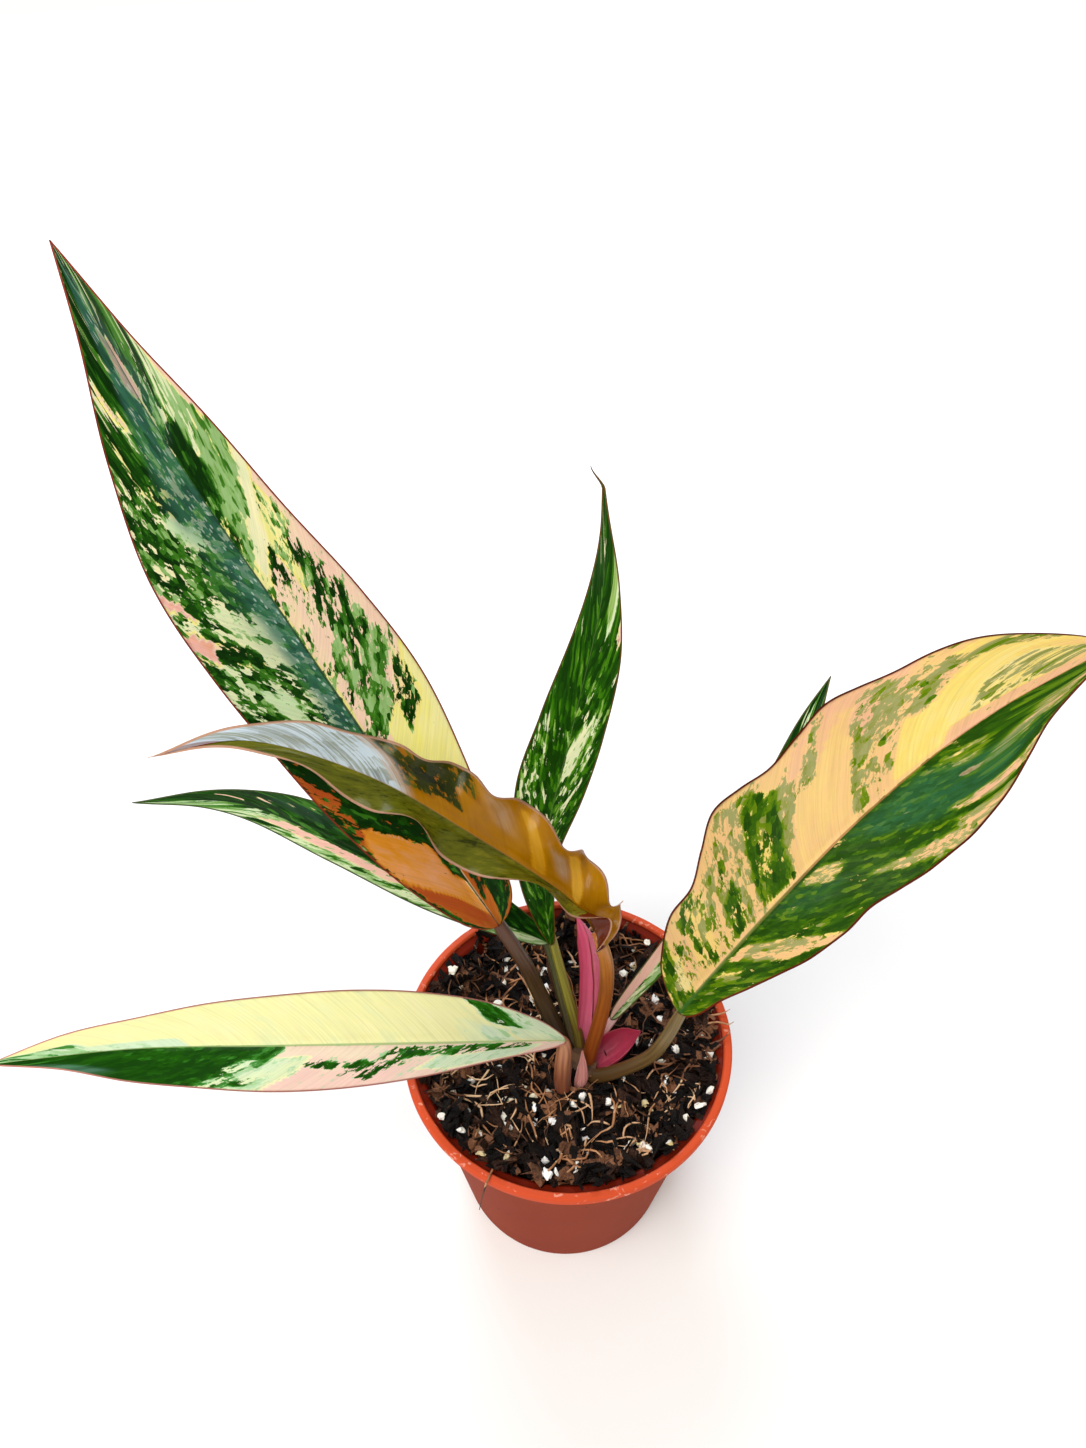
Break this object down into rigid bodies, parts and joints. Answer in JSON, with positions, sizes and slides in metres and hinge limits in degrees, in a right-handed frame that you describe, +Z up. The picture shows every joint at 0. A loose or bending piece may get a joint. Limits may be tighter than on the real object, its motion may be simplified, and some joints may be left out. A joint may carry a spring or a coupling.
{
  "type": "potted caramel marble philodendron",
  "caption": "House plant with long marbled blades on slim stalks, rooted in bark soil in a round tapered plastic nursery pot, for standing on a surface.",
  "frame": {"origin": "centre of the pot's foot, on the surface that the pot stands on", "axes": "+Z up, +Y away from the side the plant is looked at from, +X to the right of that view"},
  "size_m": [0.4079, 0.1729, 0.3486],
  "materials": {
    "pot": "satin terracotta-coloured moulded plastic",
    "soil": "loose dark bark with white perlite",
    "stem": "dull",
    "leaf_marbled": "satin leaf surface, green marbled with cream and pink",
    "leaf_caramel": "glossy young leaf surface, caramel to olive",
    "stalk": "satin plant skin",
    "stalk_caramel": "satin plant skin",
    "sheath_pink": "satin plant skin",
    "sheath_dry": "dull, papery"
  },
  "bodies": {
    "root": {"pot": "pot", "soil": "soil", "stem": "stem", "blade_tall_left": "leaf_marbled", "blade_low_left": "leaf_marbled", "blade_upright": "leaf_marbled", "blade_caramel": "leaf_caramel", "blade_broad_right": "leaf_marbled", "blade_narrow_right": "leaf_marbled", "blade_level_left": "leaf_marbled", "stalk_tall_left": "stalk", "stalk_low_left": "stalk", "stalk_upright": "stalk", "stalk_caramel": "stalk_caramel", "stalk_broad_right": "stalk", "stalk_narrow_right": "stalk", "stalk_level_left": "stalk", "sheath_tall": "sheath_pink", "sheath_boat": "sheath_pink", "sheath_small": "sheath_pink", "sheath_dry": "sheath_dry"}
  },
  "joints": []
}
